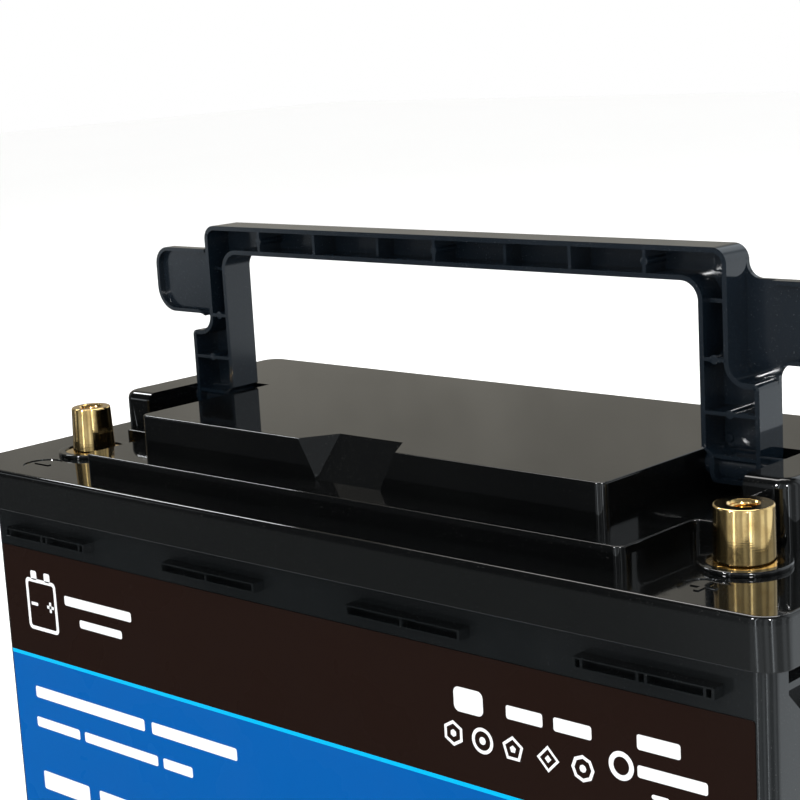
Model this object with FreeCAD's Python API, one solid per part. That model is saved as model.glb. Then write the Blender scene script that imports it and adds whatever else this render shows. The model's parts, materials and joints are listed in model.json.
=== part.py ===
"""Deep cycle battery, 12.8 V lithium iron phosphate, in the 353 x 175 x 190 mm car-battery format.

Frame, in millimetres: +X along the case, +Y from the terminal side to the rear, +Z up. The origin is the
centre of the underside. The carrying handle stands upright, and folds forward (towards -Y) to lie round the
lid's plateau.
"""

import FreeCAD
import Part

import math
import os

V = FreeCAD.Vector
UP = V(0, 0, 1)

# ---- driving dimensions --------------------------------------------------------------------------
LENGTH, WIDTH = 353.0, 175.0  # over the lid's rim
PLATEAU_Z = 190.0  # top of the lid's plateau, the battery's rated height
DECK_Z = 170.0  # the low deck that carries the terminals
LEDGE_Z = 176.8  # the step that the folded handle lies on
RIM_Z = 155.0  # underside of the lid's rim

RIM_RADIUS = 8.0
CASE_X, CASE_Y = 169.0, 79.2  # half sizes of the case's outside
CASE_RADIUS = 5.0
WALL, FLOOR = 3.0, 3.5
LIP = 1.0  # how far the case's top edge is set in, to enter the lid's groove
HOLD_H, HOLD_X, HOLD_Y = 10.5, 135.0, 62.0  # hold-down ledges along the case's foot: height, half lengths

PLATEAU_X, PLATEAU_FRONT = 102.4, -58.8
LEDGE_X, LEDGE_FRONT, LEDGE_REAR = 118.4, -72.6, 60.0
RAISED_X, RAISED_REAR = 147.0, 49.5  # the plateau's rear part runs out to these
SHOULDER_FRONT = -31.0  # front of the shoulders beside the handle's channels
CHANNEL_X, CHANNEL_REAR = 131.0, 4.2  # outer wall and rear wall of each handle channel

PIVOT = V(0, -4.0, 185.3)  # the handle's axis, along X
HANDLE_FRONT, HANDLE_BACK = -11.75, 0.75  # the handle's open, ribbed face and its smooth face, upright
HANDLE_TOP, GRIP_UNDER = 252.0, 241.7
GRIP_X, LEG_IN_X, PIVOT_IN_X, FOOT_X = 114.5, 104.3, 107.0, 124.9
FOOT_TOP = 212.2  # where the leg widens
WING_X, WING_LOW = 153.5, 216.9  # the wings that cover the terminals when the handle is folded
WING_LIP_T = 1.35  # thickness of the lip round each wing
PIN_R, PIN_CLEARANCE, PIN_REACH = 3.5, 0.05, 2.6  # pivot stubs, and their reach into the lid

POST_X, POST_Y, POST_TOP = 143.0, -49.2, 187.5
POST_R = {"positive": (8.6, 8.75), "negative": (7.2, 7.9)}  # top and foot of each tapered post
THREAD_R, THREAD_DEPTH = 4.0, 14.0  # M8
SHANK_R, SHANK_END = 6.0, 156.5

BAR_CENTRES = (44.0, 132.0)
BAR_LENGTH, BAR_LOW, BAR_HIGH, BAR_OUT = 46.6, 143.7, 147.0, 4.8

LABEL_X, LABEL_LOW, LABEL_HIGH, LABEL_T = 164.5, 33.0, 138.5, 0.3

CELL_X, CELL_Y, CELL_LOW, CELL_HIGH = 160.0, 50.0, 7.5, 125.5
SHEET = 1.0  # insulation between neighbouring cells
STUD_REACH = 55.0  # a cell's stud from the cell's middle
TRAY_Z = 141.0

SIDES = (-1, 1)
NAMES = {1: "positive", -1: "negative"}  # the post on each side


# ---- helpers -------------------------------------------------------------------------------------
def box(x0, x1, y0, y1, z0, z1):
    """A box between two corners, given in any order."""
    low = V(min(x0, x1), min(y0, y1), min(z0, z1))
    return Part.makeBox(abs(x1 - x0), abs(y1 - y0), abs(z1 - z0), low)


def rod(centre, radius, z0, z1):
    """An upright cylinder."""
    return Part.makeCylinder(radius, z1 - z0, V(centre[0], centre[1], z0), UP)


def rod_x(x0, x1, y, z, radius):
    """A cylinder along X."""
    return Part.makeCylinder(radius, abs(x1 - x0), V(min(x0, x1), y, z), V(1, 0, 0))


def outline(points):
    """A closed wire through (u, v, corner radius) points in the XY plane, its corners rounded by arcs."""
    edges, starts, ends = [], [], []
    count = len(points)
    for i, (u, v, radius) in enumerate(points):
        here = V(u, v, 0)
        before = V(*points[i - 1][:2], 0) - here
        after = V(*points[(i + 1) % count][:2], 0) - here
        before.normalize()
        after.normalize()
        if radius <= 0:
            starts.append(here)
            ends.append(here)
            edges.append(None)
            continue
        half = before.getAngle(after) / 2
        back = radius / math.tan(half)
        bisector = before + after
        bisector.normalize()
        middle = here + bisector * (radius / math.sin(half) - radius)
        starts.append(here + before * back)
        ends.append(here + after * back)
        edges.append(Part.Arc(starts[-1], middle, ends[-1]).toShape())
    chain = []
    for i in range(count):
        if edges[i]:
            chain.append(edges[i])
        if (starts[(i + 1) % count] - ends[i]).Length > 1e-6:
            chain.append(Part.makeLine(ends[i], starts[(i + 1) % count]))
    return Part.Wire(chain)


def slab(points, z0, z1):
    """The outline of points, extruded from z0 to z1."""
    face = Part.Face(outline(points))
    face.translate(V(0, 0, z0))
    return face.extrude(V(0, 0, z1 - z0))


def plate(points, y0, y1):
    """The outline of (x, z, radius) points, extruded along Y from y0 to y1."""
    face = Part.Face(outline(points))
    face.rotate(V(0, 0, 0), V(1, 0, 0), 90)
    face.translate(V(0, max(y0, y1), 0))
    return face.extrude(V(0, -abs(y1 - y0), 0))


def rounded(x, y, radius, z0, z1, centre_y=0.0):
    """A block with rounded upright edges, x and y being its half sizes."""
    low, high = centre_y - y, centre_y + y
    corners = [(-x, low, radius), (x, low, radius), (x, high, radius), (-x, high, radius)]
    return slab(corners, z0, z1)


def both_ways(points):
    """Points of a right half outline, from the front to the rear, completed by their mirror image in X."""
    return points + [(-u, v, radius) for u, v, radius in reversed(points)]


def soften(shape, z, radius, chosen=lambda middle: True):
    """Rounds the edges that lie wholly at height z, if their middles are chosen."""
    flat = []
    for edge in shape.Edges:
        extent = edge.BoundBox
        if abs(extent.ZMin - z) < 1e-4 and abs(extent.ZMax - z) < 1e-4 and chosen(extent.Center):
            flat.append(edge)
    return shape.makeFillet(radius, flat)


def joined(shapes):
    shapes = list(shapes)
    return shapes[0].multiFuse(shapes[1:]).removeSplitter()


def hexagon(centre, across, z0, z1):
    """A hexagonal prism, across being its width over the flats."""
    reach = across / math.sqrt(3)
    points = []
    for i in range(6):
        turn = math.radians(60 * i)
        points.append((centre[0] + reach * math.cos(turn), centre[1] + reach * math.sin(turn), 0))
    return slab(points, z0, z1)


def tube(points, radius):
    """A round wire or cable through points, whose bends take up 0.45 of the shorter run beside each."""
    points = [V(*p) for p in points]
    edges, start = [], points[0]
    for before, here, after in zip(points, points[1:], points[2:]):
        into, out = before - here, after - here
        turn = math.pi - into.getAngle(out)
        back = 0.45 * min(into.Length, out.Length)
        bend = back / math.tan(turn / 2)
        into.normalize()
        out.normalize()
        bisector = into + out
        bisector.normalize()
        middle = here + bisector * (bend / math.cos(turn / 2) - bend)
        edges.append(Part.makeLine(start, here + into * back))
        edges.append(Part.Arc(here + into * back, middle, here + out * back).toShape())
        start = here + out * back
    edges.append(Part.makeLine(start, points[-1]))
    path = Part.Wire(edges)
    circle = Part.Wire(Part.makeCircle(radius, points[0], points[1] - points[0]))
    return path.makePipeShell([circle], True, False)


# ---- case ----------------------------------------------------------------------------------------
POCKET_Y, POCKET_FLOOR, POCKET_DEPTH = 70.0, 135.2, 9.0
POCKET_WALL, POCKET_BEVEL = 2.5, 8.5
CASE_TOP = 165.8
SEAL_T = 0.6


def grip_pocket(side, grow):
    """The finger pocket in one end wall, or with grow above zero the block that its wall is made from."""
    reach = POCKET_Y + grow
    low = POCKET_FLOOR - grow
    points = [
        (-reach, RIM_Z + grow, 0),
        (-reach, low + POCKET_BEVEL, 0),
        (-reach + POCKET_BEVEL, low, 0),
        (reach - POCKET_BEVEL, low, 0),
        (reach, low + POCKET_BEVEL, 0),
        (reach, RIM_Z + grow, 0),
    ]
    face = Part.Face(outline(points))
    face.rotate(V(0, 0, 0), V(1, 1, 1), 120)
    inner = side * (CASE_X - POCKET_DEPTH - grow)
    face.translate(V(inner, 0, 0))
    return face.extrude(V(side * (POCKET_DEPTH + (grow or 5.0)), 0, 0))


def wall_bar(centre, side, cells):
    """A moulded bar below the rim, cored out into cells that are (start, end) shares of its length."""
    y0, y1 = side * (CASE_Y - 0.5), side * (CASE_Y + BAR_OUT)
    x0 = centre - BAR_LENGTH / 2
    bar = box(x0, x0 + BAR_LENGTH, y0, y1, BAR_LOW, BAR_HIGH)
    web, depth = 0.45, 4.0
    for start, end in cells:
        cut = box(
            x0 + start * BAR_LENGTH,
            x0 + end * BAR_LENGTH,
            y1 - side * depth,
            y1 + side,
            BAR_LOW + web,
            BAR_HIGH - web,
        )
        bar = bar.cut(cut)
    return bar


def ledges():
    """The hold-down ledges along the foot of all four walls, with slanted ends."""
    slant = 5.0
    made = []
    walls = (
        (0, CASE_Y - 1, WIDTH / 2, HOLD_X),
        (90, CASE_X - 1, LENGTH / 2, HOLD_Y),
    )
    for first, wall, reach, half in walls:
        corners = [(-half, wall, 0), (half, wall, 0), (half - slant, reach, 1.5), (slant - half, reach, 1.5)]
        ledge = slab(corners, 0, HOLD_H)
        for turn in (first, first + 180):
            turned = ledge.copy()
            turned.rotate(V(0, 0, 0), UP, turn)
            made.append(turned)
    return made


def case():
    shell = rounded(CASE_X, CASE_Y, CASE_RADIUS, 0, RIM_Z)
    shell = soften(shell, 0, 1.0)
    shell = shell.fuse(rounded(CASE_X - LIP, CASE_Y - LIP, CASE_RADIUS - LIP, RIM_Z, CASE_TOP))
    cavity = rounded(CASE_X - WALL, CASE_Y - WALL, CASE_RADIUS - WALL, FLOOR, CASE_TOP + 1)
    for side in SIDES:
        cavity = cavity.cut(grip_pocket(side, POCKET_WALL))
    shell = shell.cut(cavity)
    for side in SIDES:
        shell = shell.cut(grip_pocket(side, 0))
        rib = box(
            side * (CASE_X - POCKET_DEPTH),
            side * CASE_X,
            -POCKET_Y,
            POCKET_Y,
            BAR_HIGH - 2.0,
            BAR_HIGH,
        )
        shell = shell.fuse(rib)
    shell = shell.multiFuse(ledges())
    outer = ((0.02, 0.055), (0.075, 0.46), (0.48, 0.52), (0.54, 0.925), (0.945, 0.98))
    inner = ((0.02, 0.49), (0.51, 0.98))
    bars = [
        wall_bar(way * centre, side, cells)
        for centre, cells in zip(BAR_CENTRES, (inner, outer))
        for way in SIDES
        for side in SIDES
    ]
    return joined([shell, *bars])


# ---- lid -----------------------------------------------------------------------------------------
SKIN = 3.0
CASE_GAP = 0.15  # clearance between the rim and the case's wall
STEP_X, STEP_FRONT, STEP_REAR = RAISED_X - 7.5, SHOULDER_FRONT - 6.0, RAISED_REAR - 4.0
LEDGE = both_ways(
    [
        (LEDGE_X, LEDGE_FRONT, 3.0),
        (LEDGE_X, STEP_FRONT, 2.0),
        (STEP_X, STEP_FRONT, 3.0),
        (STEP_X, STEP_REAR, 3.0),
        (LEDGE_X, STEP_REAR, 2.0),
        (LEDGE_X, LEDGE_REAR, 3.0),
    ]
)
NOTCH_TOP_X, NOTCH_FOOT_X, NOTCH_BACK_X = 22.5, 14.5, 14.0
NOTCH_DEPTH = 12.1


def raised_block():
    """The crisp-edged plateau, and behind it a slab whose arms are the two softer-edged shoulders."""
    low = DECK_Z - 1
    front = both_ways([(PLATEAU_X, PLATEAU_FRONT, 3.0), (PLATEAU_X, CHANNEL_REAR + 5, 0)])
    plateau = slab(front, low, PLATEAU_Z)
    plateau = soften(plateau, PLATEAU_Z, 0.6, lambda middle: middle.y < CHANNEL_REAR)
    corners = [
        (CHANNEL_X, CHANNEL_REAR, 1.5),
        (CHANNEL_X, SHOULDER_FRONT, 0),
        (RAISED_X, SHOULDER_FRONT, 6.0),
        (RAISED_X, RAISED_REAR, 8.0),
    ]
    shoulders = slab(both_ways(corners), low, PLATEAU_Z)
    shoulders = soften(
        shoulders,
        PLATEAU_Z,
        3.0,
        lambda middle: abs(middle.x) > CHANNEL_X + 0.5 or middle.y > RAISED_REAR - 1,
    )
    return joined([plateau, shoulders])


def raised_cavity():
    """The hollow under the plateau and its rear part, one skin inside their outline."""
    front, rear = PLATEAU_FRONT + SKIN, RAISED_REAR - SKIN
    hollow = box(-PLATEAU_X + SKIN, PLATEAU_X - SKIN, front, rear, DECK_Z - SKIN, PLATEAU_Z - SKIN)
    wide = RAISED_X - SKIN
    hollow = hollow.fuse(box(-wide, wide, CHANNEL_REAR + SKIN, rear, DECK_Z - SKIN, PLATEAU_Z - SKIN))
    for side in SIDES:
        shoulder = box(
            side * (CHANNEL_X + SKIN),
            side * wide,
            SHOULDER_FRONT + SKIN,
            rear,
            DECK_Z - SKIN,
            PLATEAU_Z - SKIN,
        )
        hollow = hollow.fuse(shoulder)
    return hollow


def finger_notch(grow):
    """The sloped notch in the plateau's front for fingers under the folded grip, made larger by grow."""
    front, foot = PLATEAU_FRONT - 1.0 - grow, LEDGE_Z - grow
    back = PLATEAU_FRONT + NOTCH_DEPTH + grow
    top = PLATEAU_Z + 1.0
    slope = NOTCH_DEPTH / (PLATEAU_Z - LEDGE_Z)
    low = [
        V(-NOTCH_FOOT_X - grow, front, foot),
        V(NOTCH_FOOT_X + grow, front, foot),
        V(NOTCH_FOOT_X + grow, PLATEAU_FRONT + 0.2 + grow, foot),
        V(-NOTCH_FOOT_X - grow, PLATEAU_FRONT + 0.2 + grow, foot),
    ]
    high = [
        V(-NOTCH_TOP_X - grow - 0.6, front, top),
        V(NOTCH_TOP_X + grow + 0.6, front, top),
        V(NOTCH_BACK_X + grow, back + slope, top),
        V(-NOTCH_BACK_X - grow, back + slope, top),
    ]
    return Part.makeLoft([Part.makePolygon(ring + ring[:1]) for ring in (low, high)], True, True)


def channel_walls():
    """The material that stays round each handle channel where the hollow would break into it."""
    walls = []
    for side in SIDES:
        walls.append(
            box(
                side * (PLATEAU_X - SKIN),
                side * (CHANNEL_X + SKIN),
                STEP_FRONT,
                CHANNEL_REAR + SKIN,
                LEDGE_Z - SKIN,
                PLATEAU_Z,
            )
        )
    return walls


def rim_ribs():
    """Webs that stiffen the rim's skirt, between it and the case's wall."""
    y_in, y_out = CASE_Y + 0.2, WIDTH / 2 - 2
    x_in, x_out = CASE_X + 0.2, LENGTH / 2 - 2
    half = 0.8
    ribs = []
    for side in SIDES:
        for x in range(-144, 145, 32):
            ribs.append(box(x - half, x + half, side * y_in, side * y_out, RIM_Z + 1, DECK_Z - 1))
        for y in range(-60, 61, 30):
            ribs.append(box(side * x_in, side * x_out, y - half, y + half, RIM_Z + 1, DECK_Z - 1))
    return ribs


def polarity_mark(side):
    """A recess with a raised plus or minus, between a post and the rim: (what to cut, what to add)."""
    centre = (side * 144.8, -72.0)
    cut = rod(centre, 7.2, DECK_Z - 0.3, DECK_Z + 1)
    reach, half = 4.0, 0.75
    add = box(centre[0] - reach, centre[0] + reach, centre[1] - half, centre[1] + half, DECK_Z - 1, DECK_Z)
    if side > 0:
        add = add.fuse(
            box(centre[0] - half, centre[0] + half, centre[1] - reach, centre[1] + reach, DECK_Z - 1, DECK_Z)
        )
    return cut, add


def lid():
    rim = soften(rounded(LENGTH / 2, WIDTH / 2, RIM_RADIUS, RIM_Z, DECK_Z), DECK_Z, 1.1)
    rim = soften(rim, RIM_Z, 0.5)
    ledge = soften(slab(LEDGE, DECK_Z - 1, LEDGE_Z), LEDGE_Z, 0.5)
    body = rim.multiFuse([ledge, raised_block()])
    body = body.cut(finger_notch(0.0))

    skirt = 2.8
    free_x, free_y = CASE_X + CASE_GAP, CASE_Y + CASE_GAP
    under = rounded(LENGTH / 2 - skirt, WIDTH / 2 - skirt, RIM_RADIUS - skirt, RIM_Z - 1, DECK_Z - SKIN)
    under = under.cut(rounded(free_x + 1.5, free_y + 1.5, CASE_RADIUS + 1, RIM_Z + 2, DECK_Z))
    under = under.fuse(rounded(free_x, free_y, CASE_RADIUS, RIM_Z - 1, RIM_Z + 3))
    socket = rounded(free_x - LIP, free_y - LIP, CASE_RADIUS - LIP, RIM_Z, CASE_TOP + SEAL_T)
    deck_hollow = rounded(CASE_X - WALL, CASE_Y - WALL, CASE_RADIUS - WALL, RIM_Z - 1, DECK_Z - SKIN)
    inside_x, low, high = LEDGE_X - SKIN, DECK_Z - 4, LEDGE_Z - SKIN
    ledge_hollow = box(-inside_x, inside_x, LEDGE_FRONT + SKIN, LEDGE_REAR - SKIN, low, high)
    inside_x = STEP_X - SKIN
    step_hollow = box(-inside_x, inside_x, STEP_FRONT + SKIN, STEP_REAR - SKIN, low, high)
    upper = raised_cavity()
    for wall in channel_walls():
        upper = upper.cut(wall)
    upper = upper.cut(finger_notch(SKIN))
    for side in SIDES:
        boss = rod_x(side * (PLATEAU_X - 6), side * (CHANNEL_X + 6), PIVOT.y, PIVOT.z, PIN_R + SKIN)
        upper = upper.cut(boss)
    body = body.cut(under.multiFuse([socket, deck_hollow, ledge_hollow, step_hollow, upper]))
    body = body.multiFuse(rim_ribs())

    for side in SIDES:
        post = (side * POST_X, POST_Y)
        cut, add = polarity_mark(side)
        body = body.cut(cut).fuse(add)
        body = body.cut(rod(post, SHANK_R + 0.2, DECK_Z - 5, DECK_Z + 1))
        near, far = side * (PLATEAU_X - PIN_REACH - 0.2), side * (CHANNEL_X + PIN_REACH + 0.2)
        body = body.cut(rod_x(near, far, PIVOT.y, PIVOT.z, PIN_R + PIN_CLEARANCE))
    return body.removeSplitter()


# ---- handle --------------------------------------------------------------------------------------
HANDLE_WALL, HANDLE_PLATE, RIB = 1.6, 2.0, 1.2
FOOT_END = 180.5
WING_PLATE, WING_LIP = -1.0, -3.4  # front faces of the wing's plate and of its lip


def leg_sections(inset):
    """The grip frame's front outline in X and Z, moved in by inset: a hoop whose legs widen at the foot."""
    return [
        (GRIP_X - inset, HANDLE_TOP - inset, max(5.0 - inset, 0.5)),
        (GRIP_X - inset, FOOT_TOP - inset, 6.0 + inset),
        (FOOT_X - inset, FOOT_TOP - inset, max(2.0 - inset, 0.3)),
        (FOOT_X - inset, FOOT_END + inset, 0),
        (PIVOT_IN_X + inset, FOOT_END + inset, 0),
        (PIVOT_IN_X + inset, 189.6, 0),
        (LEG_IN_X + inset, 191.4, 0),
        (LEG_IN_X + inset, GRIP_UNDER + inset, 6.0 + inset),
    ]


def hoop(inset):
    """The whole hoop, both legs and the grip."""
    half = leg_sections(inset)
    return half + [(-x, z, radius) for x, z, radius in reversed(half)]


def wing_outline(inset):
    """The right-hand wing with its root under the leg."""
    high = GRIP_UNDER + 0.1
    return [
        (GRIP_X - 4, high + 6, 0),
        (GRIP_X + inset, high + 6, 0),
        (GRIP_X + inset, high - inset, 5.0),
        (WING_X - inset, high - inset, 7.0 - inset),
        (WING_X - inset, WING_LOW + inset, 9.5 - inset),
        (FOOT_X + inset, WING_LOW + inset, 5.0),
        (FOOT_X + inset, FOOT_TOP - 4, 0),
        (GRIP_X - 4, FOOT_TOP - 4, 0),
    ]


def mirrored(shape):
    return shape.mirror(V(0, 0, 0), V(1, 0, 0))


def foot_trim():
    """What is cut from a leg below the pivot, so that its foot is round about the pivot."""
    radius = -HANDLE_FRONT + PIVOT.y
    block = box(-160, 160, HANDLE_FRONT - 2, HANDLE_BACK + 9, PIVOT.z - 12, PIVOT.z)
    return block.cut(rod_x(-160, 160, PIVOT.y, PIVOT.z, radius))


def handle_ribs():
    """Cross ribs in the grip and the legs, with the bosses that the ejector pins leave."""
    parts = []
    inner = HANDLE_BACK - 1.0
    half = RIB / 2
    bar_low, bar_high = GRIP_UNDER + 0.5, HANDLE_TOP - 0.5
    for i in range(-3, 4):
        x = 28.4 * i
        front = HANDLE_FRONT + (2.75 if abs(i) == 1 else 0.0)
        parts.append(box(x - half, x + half, front, inner, bar_low, bar_high))
        if i in (-3, 0, 3):
            middle = V(x, front, (bar_low + bar_high) / 2)
            parts.append(Part.makeCylinder(1.3, inner - front, middle, V(0, 1, 0)))
    for side in SIDES:
        for z, low, high, front in (
            (235.5, LEG_IN_X + 0.5, GRIP_X - 0.5, HANDLE_FRONT + 4.0),
            (218.5, LEG_IN_X + 0.5, GRIP_X - 0.5, HANDLE_FRONT),
            (202.3, LEG_IN_X + 0.5, FOOT_X - 0.5, HANDLE_FRONT),
            (189.0, PIVOT_IN_X + 0.5, FOOT_X - 0.5, HANDLE_FRONT + 0.5),
        ):
            parts.append(box(side * low, side * high, front, inner, z - half, z + half))
            if z in (218.5, 202.3):
                middle = V(side * (low + high) / 2, front, z)
                parts.append(Part.makeCylinder(1.4, inner - front, middle, V(0, 1, 0)))
    return parts


def handle():
    frame = plate(hoop(0.0), HANDLE_FRONT, HANDLE_BACK)
    hollow = plate(hoop(HANDLE_WALL), HANDLE_FRONT - 1, HANDLE_BACK - HANDLE_PLATE)
    frame = frame.cut(hollow)
    wings = []
    for flip in (False, True):
        wing = plate(wing_outline(0.0), WING_LIP, HANDLE_BACK)
        dish = plate(wing_outline(WING_LIP_T), WING_LIP - 1, WING_PLATE)
        lip_cut = box(GRIP_X - 5, FOOT_X + 0.01, WING_LIP - 1, WING_PLATE, FOOT_TOP - 5, GRIP_UNDER + 8)
        wing = wing.cut(dish).cut(lip_cut)
        wings.append(mirrored(wing) if flip else wing)
    bosses, stubs = [], []
    for side in SIDES:
        bosses.append(rod_x(side * (PIVOT_IN_X + 0.5), side * (FOOT_X - 0.5), PIVOT.y, PIVOT.z, 5.0))
        stubs.append(rod_x(side * (PLATEAU_X - PIN_REACH), side * (PIVOT_IN_X + 1), PIVOT.y, PIVOT.z, PIN_R))
        stubs.append(rod_x(side * (FOOT_X - 1), side * (CHANNEL_X + PIN_REACH), PIVOT.y, PIVOT.z, PIN_R))
    body = frame.multiFuse([*wings, *handle_ribs(), *bosses]).cut(foot_trim())
    return body.multiFuse(stubs).removeSplitter()


# ---- terminals -----------------------------------------------------------------------------------
COLLAR_R, FLANGE_R, FLANGE_T = 13.4, 10.7, 1.0
COLLAR_H = 1.5
WASHER_T, LUG_T, NUT_H = 1.5, 2.0, 5.0


def post(side):
    """A brass post: tapered barrel, flange, shank below the deck, and a blind M8 hole from the top."""
    centre = (side * POST_X, POST_Y)
    top_r, foot_r = POST_R[NAMES[side]]
    foot = DECK_Z + FLANGE_T
    barrel = Part.makeCone(foot_r, top_r, POST_TOP - foot, V(*centre, foot), UP)
    barrel = soften(barrel, POST_TOP, 0.6)
    body = barrel.multiFuse([rod(centre, FLANGE_R, DECK_Z, foot), rod(centre, SHANK_R, SHANK_END, DECK_Z)])
    hole = rod(centre, THREAD_R, POST_TOP - THREAD_DEPTH, POST_TOP + 1)
    sink = Part.makeCone(THREAD_R, THREAD_R + 0.7, 0.7, V(*centre, POST_TOP - 0.7), UP)
    return body.cut(hole).cut(sink).removeSplitter()


def collar(side):
    """The moulded ring that is pressed round the post's flange."""
    centre = (side * POST_X, POST_Y)
    ring = soften(rod(centre, COLLAR_R, DECK_Z, DECK_Z + COLLAR_H), DECK_Z + COLLAR_H, 0.6)
    return ring.cut(rod(centre, FLANGE_R + 0.1, DECK_Z - 1, DECK_Z + COLLAR_H + 1))


def under_post(side):
    """(spring washer, cable lug, nut) on one shank, from the deck down."""
    centre = (side * POST_X, POST_Y)
    deck = DECK_Z - SKIN
    hole = rod(centre, SHANK_R + 0.15, SHANK_END - 5, deck + 1)
    washer = rod(centre, 11.0, deck - WASHER_T, deck).cut(hole)
    lug_top = deck - WASHER_T
    lug = rod(centre, 9.5, lug_top - LUG_T, lug_top)
    tongue = box(centre[0], centre[0] - side * 24, POST_Y - 6, POST_Y + 6, lug_top - LUG_T, lug_top)
    lug = lug.fuse(tongue).cut(hole).removeSplitter()
    nut_top = lug_top - LUG_T
    nut = hexagon(centre, 19.0, nut_top - NUT_H, nut_top)
    nut = nut.cut(rod(centre, SHANK_R, SHANK_END - 5, nut_top + 1))
    return washer, lug, nut


# ---- cells ---------------------------------------------------------------------------------------
PAD_T, BUSBAR_T, CELL_NUT_H = 2.5, 2.0, 4.5
PACK_X, PACK_Y = CELL_X + SHEET / 2, CELL_Y + SHEET / 2
STRAP_T, STRAP_W = 0.8, 16.0
BUSBAR_TOP = CELL_HIGH + PAD_T + BUSBAR_T
CELL_CENTRES = [(way * (CELL_X + SHEET) / 2, row * (CELL_Y + SHEET) / 2) for row in SIDES for way in SIDES]


def cell(centre):
    """One prismatic cell: its can with rounded upright edges and a raised lip round the cover."""
    x, y = centre
    half_x, half_y = CELL_X / 2, CELL_Y / 2
    can = rounded(half_x, half_y, 4.0, CELL_LOW, CELL_HIGH)
    can = soften(can, CELL_HIGH, 0.8)
    recess = rounded(half_x - 1.5, half_y - 1.5, 2.5, CELL_HIGH - 0.6, CELL_HIGH + 1)
    can = can.cut(recess)
    can.translate(V(x, y, 0))
    return can


def stud_points():
    """Each cell's two stud positions, the one towards -X first."""
    return [[(x - STUD_REACH, y), (x + STUD_REACH, y)] for x, y in CELL_CENTRES]


def cell_terminals():
    cover = CELL_HIGH - 0.6
    studs = []
    for pair in stud_points():
        for p in pair:
            pad = rounded(9, 9, 2.0, cover, CELL_HIGH + PAD_T)
            pad.translate(V(*p, 0))
            stud = rod(p, 3.0, cover, BUSBAR_TOP + CELL_NUT_H + 2)
            studs.append(pad.fuse(stud).removeSplitter())
    return Part.makeCompound(studs)


def cell_vents():
    """The oval burst vents in the middle of each cover."""
    vents = []
    for x, y in CELL_CENTRES:
        vent = rounded(11, 6, 5.9, CELL_HIGH - 0.6, CELL_HIGH)
        vent.translate(V(x, y, 0))
        vents.append(vent)
    return Part.makeCompound(vents)


def bar_between(a, b, width=18.0):
    """A flat busbar over two studs, with its holes."""
    z0 = CELL_HIGH + PAD_T
    half = width / 2
    low_x, high_x = sorted((a[0], b[0]))
    low_y, high_y = sorted((a[1], b[1]))
    blank = box(low_x - half, high_x + half, low_y - half, high_y + half, z0, z0 + BUSBAR_T)
    upright = [e for e in blank.Edges if e.BoundBox.ZLength > 1]
    blank = blank.makeFillet(3.0, upright)
    for p in (a, b):
        blank = blank.cut(rod(p, 3.2, z0 - 1, z0 + BUSBAR_T + 1))
    return blank


def series_busbars():
    """Three links that put the cells in series, round the block from the rear right to the front right."""
    rear_left, rear_right = stud_points()[2], stud_points()[3]
    front_left, front_right = stud_points()[0], stud_points()[1]
    links = [
        bar_between(rear_right[0], rear_left[1]),
        bar_between(rear_left[0], front_left[0]),
        bar_between(front_left[1], front_right[0]),
    ]
    return Part.makeCompound(links)


def end_tabs():
    """The copper tabs on the pack's two free studs, where the main cables leave."""
    z0 = CELL_HIGH + PAD_T
    tabs = []
    for stud in (stud_points()[3][1], stud_points()[1][1]):
        tab = box(stud[0] - 9, stud[0] + 14, stud[1] - 9, stud[1] + 9, z0, z0 + BUSBAR_T)
        tabs.append(tab.cut(rod(stud, 3.2, z0 - 1, z0 + BUSBAR_T + 1)))
    return Part.makeCompound(tabs)


def busbar_nuts():
    z0 = CELL_HIGH + PAD_T + BUSBAR_T
    nuts = []
    for pair in stud_points():
        for p in pair:
            nut = hexagon(p, 10.0, z0, z0 + CELL_NUT_H)
            nuts.append(nut.cut(rod(p, 3.0, z0 - 1, z0 + CELL_NUT_H + 1)))
    return Part.makeCompound(nuts)


def insulation_sheets():
    """Sheets between the cells: one along X, and one across in each row."""
    half, low, high = SHEET / 2, CELL_LOW, CELL_HIGH - 2
    long_x = CELL_X + half
    sheets = [box(-long_x, long_x, -half, half, low, high)]
    for side in SIDES:
        sheets.append(box(-half, half, side * half, side * (CELL_Y + half), low, high))
    return Part.makeCompound(sheets)


def straps():
    """Two steel bands that clamp the block of cells, one above the other."""
    bands = []
    for middle in (35.0, 98.0):
        low, high = middle - STRAP_W / 2, middle + STRAP_W / 2
        outer = rounded(PACK_X + STRAP_T, PACK_Y + STRAP_T, 4.0 + STRAP_T, low, high)
        bands.append(outer.cut(rounded(PACK_X, PACK_Y, 4.0, low - 1, high + 1)))
    return Part.makeCompound(bands)


def base_pad():
    return rounded(CASE_X - WALL - 1, CASE_Y - WALL - 1, 1.5, FLOOR, CELL_LOW)


def side_pads():
    """Foam blocks that fill the room between the cells and the case's walls."""
    pads = []
    room = 0.3
    for side in SIDES:
        near, far = side * (PACK_Y + STRAP_T), side * (CASE_Y - WALL - room)
        for x in (-110.0, 0.0, 110.0):
            pads.append(box(x - 35, x + 35, near, far, CELL_LOW, CELL_HIGH - 10))
        near, far = side * (PACK_X + STRAP_T), side * (CASE_X - WALL - room)
        pads.append(box(near, far, -35, 35, CELL_LOW, CELL_HIGH - 10))
    return Part.makeCompound(pads)


# ---- battery management system -------------------------------------------------------------------
BOARD_X, BOARD_Y = 70.0, 38.0
TRAY_TOP = TRAY_Z + 2.5
SINK_TOP = TRAY_TOP + 3.0
BOARD_Z = SINK_TOP + 2.6
BOARD_TOP = BOARD_Z + 1.6
SCREW_R = 1.5
SCREW_POINTS = [(sx * 63.0, sy * 31.0) for sx in SIDES for sy in SIDES]


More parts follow.
